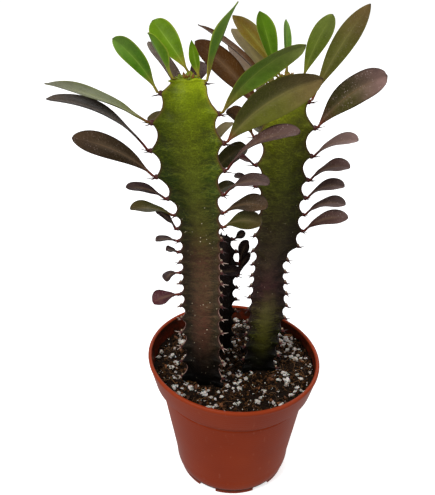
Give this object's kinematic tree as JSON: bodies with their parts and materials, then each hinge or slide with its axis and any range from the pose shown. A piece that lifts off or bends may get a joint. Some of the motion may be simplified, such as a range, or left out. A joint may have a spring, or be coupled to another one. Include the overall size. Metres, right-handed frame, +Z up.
{
  "type": "potted euphorbia",
  "caption": "Potted three-ribbed euphorbia: two tall stems and a short one, with spoon-shaped leaves on toothed ribs, in a round plastic nursery pot of gritty mix.",
  "frame": {"origin": "where the pot's axis meets the surface it stands on, in the middle of its flat underside", "axes": "+Z up along the pot's axis, -Y the front, with the left stem nearer, +X to the right stem's side"},
  "size_m": [0.1512, 0.107, 0.291],
  "materials": {
    "terracotta_plastic": "terracotta brown thin moulded plastic, satin",
    "potting_mix": "dark damp peat and coir with white perlite grains",
    "stem_left": "waxy green stem, yellow-green at the tip, brown-purple and dark towards its foot",
    "stem_right": "waxy olive-green stem with a purple-brown waist",
    "stem_back": "dark purple-brown waxy stem",
    "leaf_young": "bright green smooth young leaf",
    "leaf_green": "olive green leaf with a pale midrib",
    "leaf_purple": "dark purple-brown leaf"
  },
  "bodies": {
    "root": {"leaf_back_03": "leaf_purple", "leaf_back_08": "leaf_purple", "leaf_back_09": "leaf_purple", "leaf_back_10": "leaf_purple", "leaf_back_12": "leaf_purple", "leaf_left_00": "leaf_young", "leaf_left_01": "leaf_young", "leaf_left_02": "leaf_young", "leaf_left_03": "leaf_young", "leaf_left_04": "leaf_young", "leaf_left_05": "leaf_purple", "leaf_left_06": "leaf_green", "leaf_left_07": "leaf_green", "leaf_left_08": "leaf_purple", "leaf_left_09": "leaf_green", "leaf_left_10": "leaf_purple", "leaf_left_11": "leaf_green", "leaf_left_12": "leaf_purple", "leaf_left_13": "leaf_purple", "leaf_left_14": "leaf_purple", "leaf_left_15": "leaf_purple", "leaf_left_16": "leaf_purple", "leaf_left_17": "leaf_purple", "leaf_left_18": "leaf_purple", "leaf_left_19": "leaf_green", "leaf_left_20": "leaf_purple", "leaf_left_21": "leaf_green", "leaf_left_22": "leaf_purple", "leaf_left_25": "leaf_purple", "leaf_left_28": "leaf_purple", "leaf_left_34": "leaf_purple", "leaf_left_40": "leaf_purple", "leaf_right_01": "leaf_young", "leaf_right_02": "leaf_young", "leaf_right_03": "leaf_green", "leaf_right_04": "leaf_purple", "leaf_right_05": "leaf_green", "leaf_right_06": "leaf_green", "leaf_right_07": "leaf_purple", "leaf_right_08": "leaf_purple", "leaf_right_09": "leaf_green", "leaf_right_10": "leaf_purple", "leaf_right_11": "leaf_purple", "leaf_right_12": "leaf_purple", "leaf_right_13": "leaf_purple", "leaf_right_14": "leaf_purple", "leaf_right_15": "leaf_purple", "leaf_right_16": "leaf_purple", "leaf_right_17": "leaf_purple", "leaf_right_18": "leaf_purple", "leaf_right_20": "leaf_purple", "leaf_right_21": "leaf_purple", "leaf_right_24": "leaf_purple", "pot": "terracotta_plastic", "potting_mix": "potting_mix", "stem_back": "stem_back", "stem_left": "stem_left", "stem_right": "stem_right"}
  },
  "joints": []
}
